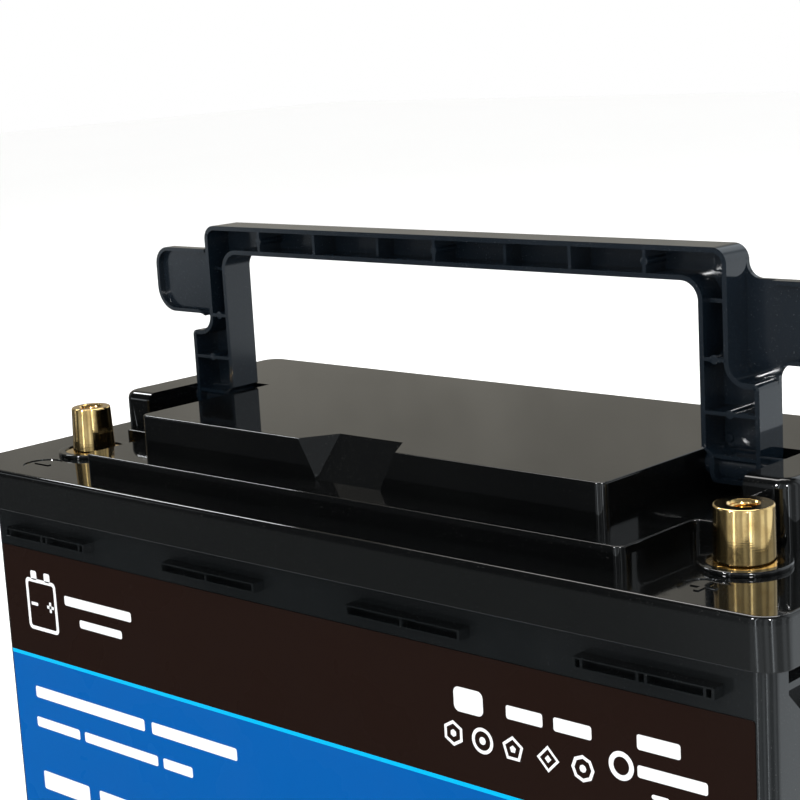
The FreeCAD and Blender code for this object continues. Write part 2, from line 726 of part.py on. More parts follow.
def tray():
    """The plastic tray over the cells: legs that stand on the covers, and bosses for the board's screws."""
    deck = rounded(BOARD_X + 8, BOARD_Y + 6, 4.0, TRAY_Z, TRAY_TOP)
    legs = [
        box(sx * 62 - 4, sx * 62 + 4, sy * 38 - 3, sy * 38 + 3, CELL_HIGH - 0.6, TRAY_Z + 1)
        for sx in SIDES
        for sy in SIDES
    ]
    bosses = [rod(p, 3.4, TRAY_Z + 1, BOARD_Z) for p in SCREW_POINTS]
    whole = joined([deck, *legs, *bosses])
    for p in SCREW_POINTS:
        whole = whole.cut(rod(p, SCREW_R, TRAY_TOP, BOARD_Z + 1))
    return whole


def heatsink():
    """The aluminium plate under the board, with shallow fins on its edges."""
    body = box(-BOARD_X + 4, BOARD_X - 4, -BOARD_Y + 4, BOARD_Y - 4, TRAY_TOP, SINK_TOP)
    for x in range(-48, 49, 12):
        for side in SIDES:
            near, far = side * (BOARD_Y - 10), side * (BOARD_Y - 3)
            body = body.cut(box(x - 1.5, x + 1.5, near, far, TRAY_TOP + 1, SINK_TOP + 1))
    for p in SCREW_POINTS:
        body = body.cut(rod(p, 4.6, TRAY_TOP - 1, SINK_TOP + 1))
    return body


def mosfets():
    """The row of power transistors between the board and the heatsink."""
    parts = []
    for side in SIDES:
        for i in range(8):
            x = -56 + i * 16
            parts.append(box(x - 5, x + 5, side * 8, side * 20, SINK_TOP, BOARD_Z))
    return Part.makeCompound(parts)


def board():
    sheet = rounded(BOARD_X - 2, BOARD_Y - 2, 2.0, BOARD_Z, BOARD_TOP)
    for p in SCREW_POINTS:
        sheet = sheet.cut(rod(p, SCREW_R + 0.2, BOARD_Z - 1, BOARD_TOP + 1))
    return sheet


def board_screws():
    """Pan-head screws that hold the board to the tray's bosses."""
    screws = []
    for p in SCREW_POINTS:
        screw = rod(p, SCREW_R, TRAY_TOP, BOARD_TOP + 1).fuse(rod(p, 3.0, BOARD_TOP, BOARD_TOP + 1.8))
        screws.append(screw.removeSplitter())
    return Part.makeCompound(screws)


def board_parts():
    """Shunts, capacitors and the controller on the board's upper face."""
    parts = [box(-8, 8, -8, 8, BOARD_TOP, BOARD_TOP + 1.4)]
    for i in range(4):
        parts.append(box(-58 + i * 9, -52 + i * 9, 4, 16, BOARD_TOP, BOARD_TOP + 1.0))
    for i in range(3):
        parts.append(rod((22 + i * 10, 14), 3.5, BOARD_TOP, BOARD_TOP + 6))
    return Part.makeCompound(parts)


CONNECTOR = (-46.0, -20.0)
WIRE_R = 0.8


def balance_connector():
    x, y = CONNECTOR
    shell = box(x - 8, x + 8, y - 3.5, y + 3.5, BOARD_TOP, BOARD_TOP + 6.5)
    return shell.cut(box(x - 7, x + 7, y - 2.5, y + 2.5, BOARD_TOP + 2, BOARD_TOP + 7))


def wireless_module():
    """The radio board, standing on the main board with its shield can."""
    carrier = box(34, 58, -30, -14, BOARD_TOP, BOARD_TOP + 1.0)
    can = box(36, 50, -28, -16, BOARD_TOP + 1.0, BOARD_TOP + 3.0)
    return carrier.fuse(can).removeSplitter()


def power_pads():
    """The board's two copper blocks that take the negative cables."""
    return Part.makeCompound([box(x - 7, x + 7, 24, 34, BOARD_TOP, BOARD_TOP + 3) for x in (-20.0, 40.0)])


# ---- wiring --------------------------------------------------------------------------------------
CABLE_R = 3.0
LUG_END = POST_X - 24.0
LUG_Z = DECK_Z - SKIN - WASHER_T - LUG_T / 2


def positive_cable():
    """From the pack's positive tab up to the right-hand post's lug."""
    tab = stud_points()[3][1]
    z = CELL_HIGH + PAD_T + BUSBAR_T + CABLE_R
    return tube(
        [
            (tab[0] + 11, tab[1] - 6, z),
            (tab[0] + 11, tab[1] - 30, z),
            (tab[0] - 14, tab[1] - 52, z + 12),
            (tab[0] - 26, POST_Y + 8, LUG_Z - LUG_T / 2 - CABLE_R - 6),
            (tab[0] - 36, POST_Y, LUG_Z - LUG_T / 2 - CABLE_R),
            (LUG_END - 2, POST_Y, LUG_Z - LUG_T / 2 - CABLE_R),
        ],
        CABLE_R,
    )


def pack_cable():
    """From the pack's negative tab to the board's input block."""
    tab = stud_points()[1][1]
    z = CELL_HIGH + PAD_T + BUSBAR_T + CABLE_R
    end = BOARD_TOP + 3 + CABLE_R
    return tube(
        [
            (tab[0] - 4, tab[1] + 12, z),
            (tab[0] - 30, tab[1] + 30, z + 4),
            (tab[0] - 44, tab[1] + 44, z + 20),
            (70, 29, end),
            (36, 29, end),
        ],
        CABLE_R,
    )


def output_cable():
    """From the board's output block to the left-hand post's lug."""
    start = BOARD_TOP + 3 + CABLE_R
    return tube(
        [
            (-16, 29, start),
            (-50, 29, start),
            (-88, 10, start),
            (-96, -30, LUG_Z - LUG_T / 2 - CABLE_R),
            (-106, POST_Y + 2, LUG_Z - LUG_T / 2 - CABLE_R),
            (-LUG_END + 2, POST_Y, LUG_Z - LUG_T / 2 - CABLE_R),
        ],
        CABLE_R,
    )


def balance_wires():
    """Sensing wires from the connector, over the tray's end and back under it to each tap in the series."""
    end_x, row = stud_points()[1][1][0], stud_points()[2][0][1]
    routes = [  # each wire's lane in Y, then its last bend and its tap
        (-8.0, (-13.0, 20.0), (0.0, row)),
        (-12.0, (60.0, 26.0), (end_x - 8, row + 2)),
        (-16.0, (-108.0, -10.0), (-end_x, 0.0)),
        (-20.0, (60.0, -20.0), (end_x - 8, -row + 7)),
        (-24.0, (-13.0, -24.5), (0.0, -row)),
    ]
    under = TRAY_Z - 2.2
    edge = -BOARD_X - 18
    wires = []
    for i, (lane, bend, tap) in enumerate(routes):
        x, over = CONNECTOR[0] - 4 + 2 * i, BOARD_TOP + 8 + 1.8 * i
        path = [(x, CONNECTOR[1], BOARD_TOP + 2.0 + WIRE_R), (x, CONNECTOR[1], over), (edge, lane, over)]
        path += [(edge, lane, under), (*bend, under), (*tap, BUSBAR_TOP + WIRE_R)]
        wires.append(tube(path, WIRE_R))
    return Part.makeCompound(wires)


def temperature_probe():
    """The bead glued to a cell's cover, with its lead up to the board."""
    cover = CELL_HIGH - 0.6
    bead = box(-58, -52, -40, -34, cover, cover + 2.6)
    path = [(-55, -40, cover + 1.3), (-55, -47, cover + 1.3)]
    path += [(-55, -48, BOARD_TOP + 4), (-50, -33, BOARD_TOP + 1)]
    lead = tube(path, WIRE_R)
    return bead.fuse(lead).removeSplitter()


def seal_bead():
    """The bead of sealant in the lid's groove, on the case's top edge."""
    in_by = LIP + 0.3
    outer = rounded(CASE_X - in_by, CASE_Y - in_by, CASE_RADIUS - LIP - 0.2, CASE_TOP, CASE_TOP + SEAL_T)
    inner = rounded(CASE_X - WALL + 0.2, CASE_Y - WALL + 0.2, CASE_RADIUS - WALL, CASE_TOP - 1, CASE_TOP + 1)
    return outer.cut(inner)


def label():
    face = -CASE_Y
    return plate(
        [
            (-LABEL_X, LABEL_LOW, 1.0),
            (LABEL_X, LABEL_LOW, 1.0),
            (LABEL_X, LABEL_HIGH, 1.0),
            (-LABEL_X, LABEL_HIGH, 1.0),
        ],
        face - LABEL_T,
        face,
    )


def nodes():
    """Every node's name and shape."""
    made = {"case": case(), "lid": lid(), "lid_seal": seal_bead(), "handle": handle(), "front_label": label()}
    lugs = []
    for side in SIDES:
        name = NAMES[side]
        washer, lug, nut = under_post(side)
        made[name + "_post"] = post(side)
        made[name + "_post_collar"] = collar(side)
        made[name + "_post_washer"] = washer
        made[name + "_post_nut"] = nut
        lugs.append(lug)
    made["post_cable_lugs"] = Part.makeCompound(lugs)
    for number, centre in enumerate(CELL_CENTRES, 1):
        made[f"cell_{number}"] = cell(centre)
    made["cell_terminals"] = cell_terminals()
    made["cell_vents"] = cell_vents()
    made["series_busbars"] = series_busbars()
    made["pack_end_tabs"] = end_tabs()
    made["busbar_nuts"] = busbar_nuts()
    made["cell_insulation"] = insulation_sheets()
    made["cell_straps"] = straps()
    made["base_foam_pad"] = base_pad()
    made["side_foam_blocks"] = side_pads()
    made["bms_tray"] = tray()
    made["bms_heatsink"] = heatsink()
    made["bms_transistors"] = mosfets()
    made["bms_board"] = board()
    made["bms_board_screws"] = board_screws()
    made["bms_components"] = board_parts()
    made["bms_balance_connector"] = balance_connector()
    made["bms_power_pads"] = power_pads()
    made["wireless_module"] = wireless_module()
    made["positive_cable"] = positive_cable()
    made["pack_negative_cable"] = pack_cable()
    made["output_negative_cable"] = output_cable()
    made["balance_wires"] = balance_wires()
    made["temperature_probe"] = temperature_probe()
    return made


os.makedirs("parts", exist_ok=True)
for node_name, shape in nodes().items():
    shape.exportStep(f"parts/{node_name}.step")
    size = shape.BoundBox
    extent = f"{size.XLength:.1f} x {size.YLength:.1f} x {size.ZLength:.1f}"
    print(f"{node_name}: {len(shape.Solids)} solids, valid {shape.isValid()}, {extent}")
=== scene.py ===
"""The look of a deep cycle battery with a fold-down handle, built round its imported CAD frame.

Everything is in metres, in the frame's own axes: +X along the case, +Y to the rear, +Z up.
"""

import json
import math

import bmesh
import bpy
from mathutils import Matrix, Vector


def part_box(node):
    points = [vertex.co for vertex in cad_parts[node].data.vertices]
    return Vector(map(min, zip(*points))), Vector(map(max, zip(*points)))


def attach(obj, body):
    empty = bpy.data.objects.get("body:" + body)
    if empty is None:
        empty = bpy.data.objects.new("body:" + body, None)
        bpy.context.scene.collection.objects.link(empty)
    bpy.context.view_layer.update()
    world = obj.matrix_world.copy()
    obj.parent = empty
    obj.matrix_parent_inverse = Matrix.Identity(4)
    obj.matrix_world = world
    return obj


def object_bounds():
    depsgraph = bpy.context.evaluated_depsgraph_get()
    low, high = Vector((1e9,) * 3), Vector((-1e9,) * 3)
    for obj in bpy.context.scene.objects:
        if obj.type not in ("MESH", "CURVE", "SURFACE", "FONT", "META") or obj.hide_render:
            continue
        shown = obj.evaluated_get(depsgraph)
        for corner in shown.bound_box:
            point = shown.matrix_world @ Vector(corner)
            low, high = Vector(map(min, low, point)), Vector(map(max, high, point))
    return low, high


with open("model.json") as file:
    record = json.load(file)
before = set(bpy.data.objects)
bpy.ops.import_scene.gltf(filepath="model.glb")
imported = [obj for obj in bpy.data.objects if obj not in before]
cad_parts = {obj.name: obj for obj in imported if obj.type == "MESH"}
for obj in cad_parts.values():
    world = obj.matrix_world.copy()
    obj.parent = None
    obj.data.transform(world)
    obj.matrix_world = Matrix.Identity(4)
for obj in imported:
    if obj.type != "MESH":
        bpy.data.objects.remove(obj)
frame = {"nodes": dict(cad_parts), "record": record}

cad_low, cad_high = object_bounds()
NODES = frame["nodes"]
MM = 0.001

# ---- driving values -------------------------------------------------------------------------------
CAMERA_PLACE = (0.42029, -0.47829, 0.31964)
CAMERA_YAW, CAMERA_PITCH, CAMERA_ROLL = 43.28, -11.05, -3.23  # degrees; yaw turns left from +Y
CAMERA_LENS, SENSOR = 85.3, 36.0  # mm

EDGE = 0.28 * MM  # the rounding of moulded edges
WEB_EDGE = 0.16 * MM  # on the case, whose moulded bars have thin webs
FINE_EDGE = 0.12 * MM  # on the posts and their collars
SHARP = math.radians(35)  # edges sharper than this are rounded and shaded as edges
FLAT = math.radians(0.3)  # faces closer in direction than this are one face
WELD = 0.002 * MM  # corners closer than this are merged

BORE_R, PITCH, THREAD_RISE, THREAD_DEPTH = 4.0 * MM, 1.25 * MM, 0.65 * MM, 14.0 * MM  # of the M8 thread
THREAD_TOP, THREAD_SPARE = 0.9 * MM, 1.5 * MM  # smooth bore above the thread, and in all
THREAD_ROOT = 0.03 * MM  # how far the ridge's foot is sunk in the bore's wall
TURN_STEPS = 48
PRINT_T = 0.02 * MM  # thickness of the white ink
LINE_SHARE = 0.7  # how much of a line's height its bars fill
HANDLE_PLATE = 2.0 * MM  # thickness of the handle behind its ribs
ROUND = 28  # sides of a round pin mark
RIM_FADE = (0.1672, 0.1682)  # heights between which the rim's duller finish and its painted reflection (a lighter base colour) give way to gloss

# What reflections see round the horizon: (direction in degrees from +X, brightness).
STRIPS = (
    (-180, 0.1),
    (-176, 0.5),
    (-170, 0.06),
    (-126, 0.06),
    (-117, 0.5),
    (-97, 0.4),
    (-95.5, 5.0),
    (-93.5, 5.0),
    (-92, 0.35),
    (-78, 0.65),
    (-66, 0.35),
    (-60, 0.9),
    (-52, 0.9),
    (-46, 0.35),
    (-37.5, 0.5),
    (-36, 5.0),
    (-34, 5.0),
    (-32.5, 0.6),
    (-26, 1.0),
    (-19, 0.4),
    (1, 0.4),
    (7, 0.85),
    (18, 0.85),
    (24, 0.45),
    (32, 0.45),
    (39, 1.0),
    (64, 1.0),
    (73, 0.5),
    (82, 1.1),
    (108, 1.0),
    (116, 0.1),
    (180, 0.1),
)
BRIGHTEST = 5.0  # the most that a table of brightness holds
WINDOW = ((-180, 0.0), (-156, 0.0), (-152, 1.5), (-140, 1.5), (-136, 0.0), (180, 0.0))  # seen only low down
WALL, WALL_WAY = (0.34, 0.325, 0.285, 1), (-0.671, 0.718, 0.187)  # the beige wall, and the way to it
SHADE, CEILING, GROUND = (0.04, 0.045, 0.05, 1), (0.16, 0.165, 0.17, 1), (0.5, 0.52, 0.54, 1)
STRIP_TINT = (0.93, 1.0, 1.05)
DUST = (0.2, 0.2, 0.19, 1)

BROWN, CYAN, BLUE = (0.0135, 0.0067, 0.005, 1), (0.0, 0.43, 0.78, 1), (0.0, 0.092, 0.355, 1)
STRIPE = (0.0959, 0.0973)  # the label's stripe, from and to, in Z


# ---- material nodes ---------------------------------------------------------------------------------
class Nodes:
    """Short calls that build a shader's node tree."""

    def __init__(self, tree):
        self.tree = tree

    def add(self, kind, inputs=(), **settings):
        """A new node. Its inputs are constants, or other nodes' outputs to link."""
        made = self.tree.nodes.new("ShaderNode" + kind)
        for key, value in settings.items():
            setattr(made, key, value)
        for key, value in dict(inputs).items():
            if isinstance(value, bpy.types.NodeSocket):
                self.tree.links.new(value, made.inputs[key])
            else:
                made.inputs[key].default_value = value
        return made

    def math(self, operation, a, b=0.0):
        return self.add("Math", {0: a, 1: b}, operation=operation).outputs[0]

    def fade(self, value, low, high, to_low=0.0, to_high=1.0):
        """The value mapped smoothly from low..high to to_low..to_high."""
        inputs = {"Value": value, "From Min": low, "From Max": high, "To Min": to_low, "To Max": to_high}
        return self.add("MapRange", inputs, interpolation_type="SMOOTHSTEP").outputs["Result"]

    def mix(self, fac, a, b, blend="MIX"):
        """Colour a where fac is 0, and b where it is 1, or another blend of the two there."""
        return self.add("Mix", {0: fac, 6: a, 7: b}, data_type="RGBA", blend_type=blend).outputs[2]


class Finish(Nodes):
    """One material, with its nodes and its shader. Places are in object coordinates."""

    def __init__(self, name, colour, roughness, **constants):
        self.material = bpy.data.materials.new(name)
        self.material.use_nodes = True
        super().__init__(self.material.node_tree)
        self.shader = self.tree.nodes["Principled BSDF"]
        self.shader.inputs["Base Color"].default_value = (*colour[:3], 1)
        self.shader.inputs["Roughness"].default_value = roughness
        for socket, value in constants.items():
            self.shader.inputs[socket.replace("_", " ")].default_value = value
        self.place = self.add("TexCoord").outputs["Object"]

    def stretched(self, x, y, z):
        """Object coordinates scaled along each axis."""
        return self.add("Mapping", {"Vector": self.place, "Scale": (x, y, z)}).outputs["Vector"]

    def noise(self, scale, detail=2.0, at=None):
        inputs = {"Vector": at or self.place, "Scale": scale, "Detail": detail}
        return self.add("TexNoise", inputs).outputs["Fac"]

    def axis(self, name):
        return self.add("SeparateXYZ", {"Vector": self.place}).outputs[name]

    def bump(self, height, distance, under=None, strength=1.0):
        inputs = {"Height": height, "Distance": distance, "Strength": strength}
        if under:
            inputs["Normal"] = under
        return self.add("Bump", inputs).outputs["Normal"]

    def wear(self, socket, value):
        """Links a node's output to one socket of the shader."""
        self.tree.links.new(value, self.shader.inputs[socket])


def moulded(name, colour, worn, roughness):
    """Injection-moulded plastic with handling marks and settled dust, but no relief yet."""
    made = Finish(name, colour, roughness[0])
    clouds = made.noise(22, 4)
    marks = made.fade(made.noise(160, 5, made.stretched(1, 1.7, 0.6)), 0.56, 0.78)
    dust = made.fade(made.noise(2600, 1), 0.735, 0.76)
    tint = made.mix(made.fade(clouds, 0.35, 0.7), (*colour, 1), (*worn, 1))
    made.wear("Base Color", made.mix(made.math("MULTIPLY", dust, 0.3), tint, DUST))
    rough = made.fade(clouds, 0.3, 0.75, *roughness)
    rough = made.math("ADD", rough, made.math("MULTIPLY", marks, 0.05))
    made.wear("Roughness", made.math("ADD", rough, made.math("MULTIPLY", dust, 0.15)))
    return made


def gloss_finish():
    """Polished mouldings with slow waves; the rim below the deck is a little duller, and has a lighter base
    colour painted in for the brighter reflection it shows.
    """
    made = moulded("lid_gloss", (0.0017, 0.0019, 0.002), (0.0026, 0.0028, 0.0028), (0.03, 0.06))
    made.wear("Normal", made.bump(made.noise(14, 1), 0.03e-3, made.bump(made.noise(3000, 2), 0.3e-6)))
    tint = made.shader.inputs["Base Color"].links[0].from_socket
    rim = made.fade(made.axis("Z"), *RIM_FADE, 1.0, 0.0)
    # painted reflection: below RIM_FADE the rim gets a lighter base colour standing in for the brighter
    # reflection it catches
    made.wear("Base Color", made.mix(rim, tint, (0.006, 0.0066, 0.0066, 1)))
    shine = made.shader.inputs["Roughness"].links[0].from_socket
    made.wear("Roughness", made.math("ADD", shine, made.math("MULTIPLY", rim, 0.1)))
    return made


def case_finish():
    """Satin, with an even grain."""
    made = moulded("case_satin", (0.005, 0.0062, 0.0068), (0.0072, 0.0084, 0.009), (0.13, 0.18))
    made.wear("Normal", made.bump(made.noise(1700, 2), 8e-6))
    return made


def handle_finish():
    """Gloss on the sides that face up and outwards, satin in the ribbed side."""
    made = moulded("handle_satin", (0.0045, 0.0088, 0.0142), (0.0068, 0.0112, 0.017), (0.16, 0.22))
    facing = made.add("SeparateXYZ", {"Vector": made.add("TexCoord").outputs["Normal"]})
    up = made.fade(facing.outputs["Z"], 0.5, 0.8)
    away = made.math("MULTIPLY", facing.outputs["X"], made.math("SIGN", made.axis("X")))
    gloss = made.math("MAXIMUM", up, made.fade(away, 0.4, 0.7))
    satin = made.shader.inputs["Roughness"].links[0].from_socket
    made.wear("Roughness", made.fade(gloss, 0.0, 1.0, satin, made.math("MULTIPLY", satin, 0.3)))
    fainter = made.fade(gloss, 0.0, 1.0, 1.0, 0.06)
    made.wear("Normal", made.bump(made.noise(1900, 2), 6e-6, strength=fainter))
    return made


def brass_finish():
    """Turned brass: rings cut by the tool, faint lines along the bar it was cut from, and slight tarnish."""
    made = Finish("turned_brass", (0.85, 0.62, 0.27), 0.15, Metallic=1.0, Anisotropic=0.9)
    clouds = made.noise(190, 4)
    bright, tarnished = (0.87, 0.62, 0.27, 1), (0.66, 0.43, 0.165, 1)
    made.wear("Base Color", made.mix(made.fade(clouds, 0.35, 0.75), bright, tarnished))
    rings = made.noise(1.0, 3, made.stretched(60, 60, 5200))
    made.wear("Roughness", made.fade(clouds, 0.3, 0.8, 0.07, 0.13))
    drawn = made.noise(1.0, 2, made.stretched(1500, 1500, 20))
    made.wear("Normal", made.bump(drawn, 9e-6, made.bump(rings, 7e-6)))
    tangent = made.add("Tangent", direction_type="RADIAL", axis="Z")
    made.wear("Tangent", tangent.outputs["Tangent"])
    return made


def label_finish():
    """Printed film: brown over blue, with a stripe between them."""
    made = Finish("label_print", BLUE, 0.3, Specular_IOR_Level=0.03)
    height = made.axis("Z")
    print_grain = made.fade(made.noise(5000, 1), 0.3, 0.7, 0.97, 1.03)
    above = made.math("GREATER_THAN", height, STRIPE[1])
    within = made.math("GREATER_THAN", height, STRIPE[0])
    bands = made.mix(above, made.mix(within, BLUE, CYAN), BROWN)
    grain = made.add("CombineColor", {"Red": print_grain, "Green": print_grain, "Blue": print_grain})
    made.wear("Base Color", made.mix(1.0, bands, grain.outputs[0], "MULTIPLY"))
    made.wear("Roughness", made.fade(made.noise(30, 3), 0.3, 0.7, 0.24, 0.34))
    made.wear("Normal", made.bump(made.noise(120, 2), 12e-6))
    return made


def ink_finish():
    """White ink, thicker in some places than in others."""
    made = Finish("white_ink", (0.86, 0.87, 0.88), 0.35)
    thick, thin = (0.9, 0.91, 0.92, 1), (0.86, 0.87, 0.885, 1)
    made.wear("Base Color", made.mix(made.fade(made.noise(900, 3), 0.4, 0.7), thick, thin))
    made.wear("Normal", made.bump(made.noise(3500, 1), 1e-6))
    return made


def metal(name, colour, dull, roughness, along=(1, 1, 1), scale=900):
    """Bare metal with brushed or rolled grain along one axis, and duller clouds."""
    made = Finish(name, colour, roughness, Metallic=1.0)
    clouds = made.noise(70, 4)
    grain = made.noise(scale, 3, made.stretched(*along))
    made.wear("Base Color", made.mix(made.fade(clouds, 0.35, 0.7), (*colour, 1), (*dull, 1)))
    made.wear("Roughness", made.fade(grain, 0.3, 0.7, roughness - 0.07, roughness + 0.09))
    made.wear("Normal", made.bump(grain, 6e-6))
    return made


def soft(name, colour, other, roughness, scale, height, **constants):
    """Rubber, foam, laminate and other dull stuff, mottled at one scale."""
    made = Finish(name, colour, roughness, **constants)
    mottle = made.noise(scale, 4)
    made.wear("Base Color", made.mix(made.fade(mottle, 0.35, 0.7), (*colour, 1), (*other, 1)))
    made.wear("Roughness", made.fade(mottle, 0.3, 0.7, roughness - 0.08, roughness + 0.08))
    made.wear("Normal", made.bump(mottle, height))
    return made


FINISHES = {
    "lid_plastic": gloss_finish(),
    "case_plastic": case_finish(),
    "handle_plastic": handle_finish(),
    "brass": brass_finish(),
    "label_film": label_finish(),
    "steel": metal("zinc_steel", (0.56, 0.57, 0.58), (0.42, 0.43, 0.43), 0.3, (1, 1, 8)),
    "copper": metal("bare_copper", (0.72, 0.4, 0.26), (0.5, 0.26, 0.16), 0.34, (8, 1, 1)),
    "aluminium": metal("satin_aluminium", (0.78, 0.79, 0.8), (0.62, 0.63, 0.65), 0.36, (6, 1, 1)),
    "cell_can": soft("cell_film", (0.02, 0.09, 0.3), (0.015, 0.07, 0.25), 0.3, 45, 40e-6, Coat_Weight=0.4),
    "sealant": soft("sealant", (0.02, 0.02, 0.02), (0.03, 0.03, 0.03), 0.7, 700, 40e-6),
    "insulation": soft("epoxy_sheet", (0.55, 0.5, 0.3), (0.42, 0.4, 0.22), 0.5, 1500, 8e-6),
    "foam": soft("foam", (0.018, 0.018, 0.019), (0.045, 0.045, 0.045), 0.92, 1300, 180e-6),
    "tray_plastic": soft("tray_plastic", (0.03, 0.03, 0.032), (0.04, 0.04, 0.042), 0.5, 2000, 8e-6),
    "board_laminate": soft("solder_mask", (0.005, 0.07, 0.03), (0.02, 0.13, 0.06), 0.35, 420, 14e-6),
    "component_plastic": soft("mould_compound", (0.02, 0.02, 0.021), (0.03, 0.03, 0.03), 0.55, 1800, 6e-6),
    "cable_red": soft("red_jacket", (0.42, 0.012, 0.01), (0.33, 0.01, 0.01), 0.5, 260, 12e-6),
    "cable_black": soft("black_jacket", (0.014, 0.014, 0.015), (0.022, 0.022, 0.023), 0.5, 260, 12e-6),
    "wire": soft("wire_jacket", (0.55, 0.55, 0.5), (0.45, 0.44, 0.4), 0.5, 500, 8e-6),
}
INK = ink_finish()


# ---- CAD nodes ----------------------------------------------------------------------------------------
def smooth_by_angle():
    """A node group that shades a mesh smooth except across edges sharper than SHARP."""
    group = bpy.data.node_groups.new("smooth_by_angle", "GeometryNodeTree")
    group.interface.new_socket("Geometry", in_out="INPUT", socket_type="NodeSocketGeometry")
    group.interface.new_socket("Geometry", in_out="OUTPUT", socket_type="NodeSocketGeometry")
    source, sink = group.nodes.new("NodeGroupInput"), group.nodes.new("NodeGroupOutput")
    angle = group.nodes.new("GeometryNodeInputMeshEdgeAngle")
    under = group.nodes.new("FunctionNodeCompare")
    under.data_type, under.operation = "FLOAT", "LESS_EQUAL"
    under.inputs[1].default_value = SHARP
    faces, edges = (group.nodes.new("GeometryNodeSetShadeSmooth") for _ in range(2))
    edges.domain = "EDGE"
    group.links.new(source.outputs[0], faces.inputs["Geometry"])
    group.links.new(faces.outputs[0], edges.inputs["Geometry"])
    group.links.new(angle.outputs["Unsigned Angle"], under.inputs[0])
    group.links.new(under.outputs["Result"], edges.inputs["Shade Smooth"])
    group.links.new(edges.outputs[0], sink.inputs[0])
    return group


SMOOTH = smooth_by_angle()


def refine(obj, width):
    """Rounds an object's sharp edges by width, and shades the flats flat and the curves smooth."""
    weld = obj.modifiers.new("weld", "WELD")
    weld.merge_threshold = WELD
    flats = obj.modifiers.new("flats", "DECIMATE")
    flats.decimate_type = "DISSOLVE"
    flats.angle_limit = FLAT
    obj.modifiers.new("triangles", "TRIANGULATE")
    bevel = obj.modifiers.new("edges", "BEVEL")
    bevel.width = width
    bevel.segments = 2
    bevel.limit_method = "ANGLE"
    bevel.angle_limit = SHARP
    bevel.use_clamp_overlap = True
    bevel.miter_outer = "MITER_ARC"
    obj.modifiers.new("shading", "NODES").node_group = SMOOTH
    normals = obj.modifiers.new("normals", "WEIGHTED_NORMAL")
    normals.keep_sharp = True


def paint(obj, finish):
    obj.data.materials.clear()
    obj.data.materials.append(finish.material)


for part in frame["record"]["subparts"]:
    paint(NODES[part["node"]], FINISHES[part["material_slot"]])
for name in ("lid", "handle"):
    refine(NODES[name], EDGE)
refine(NODES["case"], WEB_EDGE)
for name in ("negative_post", "positive_post", "negative_post_collar", "positive_post_collar"):
    refine(NODES[name], FINE_EDGE)


# ---- pieces --------------------------------------------------------------------------------------------
def piece(name, mesh, finish, body):
    """A new piece of the object from a bmesh, with its finish, body and material slot."""
    bmesh.ops.recalc_face_normals(mesh, faces=mesh.faces)
    data = bpy.data.meshes.new(name)
    mesh.to_mesh(data)
    mesh.free()
    obj = bpy.data.objects.new(name, data)
    bpy.context.scene.collection.objects.link(obj)
    paint(obj, finish)
    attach(obj, body)
    obj.modifiers.new("shading", "NODES").node_group = SMOOTH
    return obj


def thread(side):
    """The cut thread in a post's bore: a helical ridge that fades out at both ends."""
    low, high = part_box(side + "_post")
    centre = (low + high) / 2
    turns = (THREAD_DEPTH - THREAD_SPARE) / PITCH
    mesh = bmesh.new()
    rings = []
    count = int(turns * TURN_STEPS)
    for i in range(count + 1):
        angle = math.tau * i / TURN_STEPS
        z = high.z - THREAD_TOP - PITCH * i / TURN_STEPS
        rise = min(1.0, i / TURN_STEPS, (count - i) / TURN_STEPS)
        crest, root = BORE_R - rise * THREAD_RISE, BORE_R + THREAD_ROOT
        ring = []
        for radius, lift in ((root, 0.42), (crest, 0.06), (crest, -0.06), (root, -0.42)):
            x, y = centre.x + radius * math.cos(angle), centre.y + radius * math.sin(angle)
            ring.append(mesh.verts.new((x, y, z + lift * PITCH)))
        rings.append(ring)
    for a, b in zip(rings, rings[1:]):
        for j in range(4):
            k = (j + 1) % 4
            mesh.faces.new((a[j], a[k], b[k], b[j]))
    mesh.faces.new(rings[0])
    mesh.faces.new(rings[-1][::-1])
    piece(side + "_post_thread", mesh, FINISHES["brass"], "battery")


def arc(centre, radius, start, end, steps):
    """Points along an arc in X and Z, angles in degrees."""
    turn = [math.radians(start + (end - start) * i / steps) for i in range(steps + 1)]
    return [(centre[0] + radius * math.cos(t), centre[1] + radius * math.sin(t)) for t in turn]


def bar(x0, x1, z0, z1, radius=0.8):
    """A rounded rectangle in X and Z, in mm."""
    radius = min(radius, (x1 - x0) / 2.01, (z1 - z0) / 2.01)
    corners = ((x1, z0, -90), (x1, z1, 0), (x0, z1, 90), (x0, z0, 180))
    points = []
    for x, z, start in corners:
        inward = (x + math.copysign(radius, (x0 + x1) / 2 - x), z + math.copysign(radius, (z0 + z1) / 2 - z))
        points += arc(inward, radius, start, start + 90, 5)
    return points


def polygon(x, z, radius, sides):
    """A regular polygon in X and Z, with a corner at the top."""
    return arc((x, z), radius, 90, 450, sides)[:-1]


def words(x0, x1, z0, z1, shares, gap):
    """A line of print as blank bars, one a word: shares are the words' lengths."""
    room = x1 - x0 - gap * (len(shares) - 1)
    trim = (z1 - z0) * (1 - LINE_SHARE) / 2
    bars, x = [], x0
    for share in shares:
        width = room * share / sum(shares)
        bars.append(bar(x, x + width, z0 + trim, z1 - trim))
        x += width + gap
    return bars


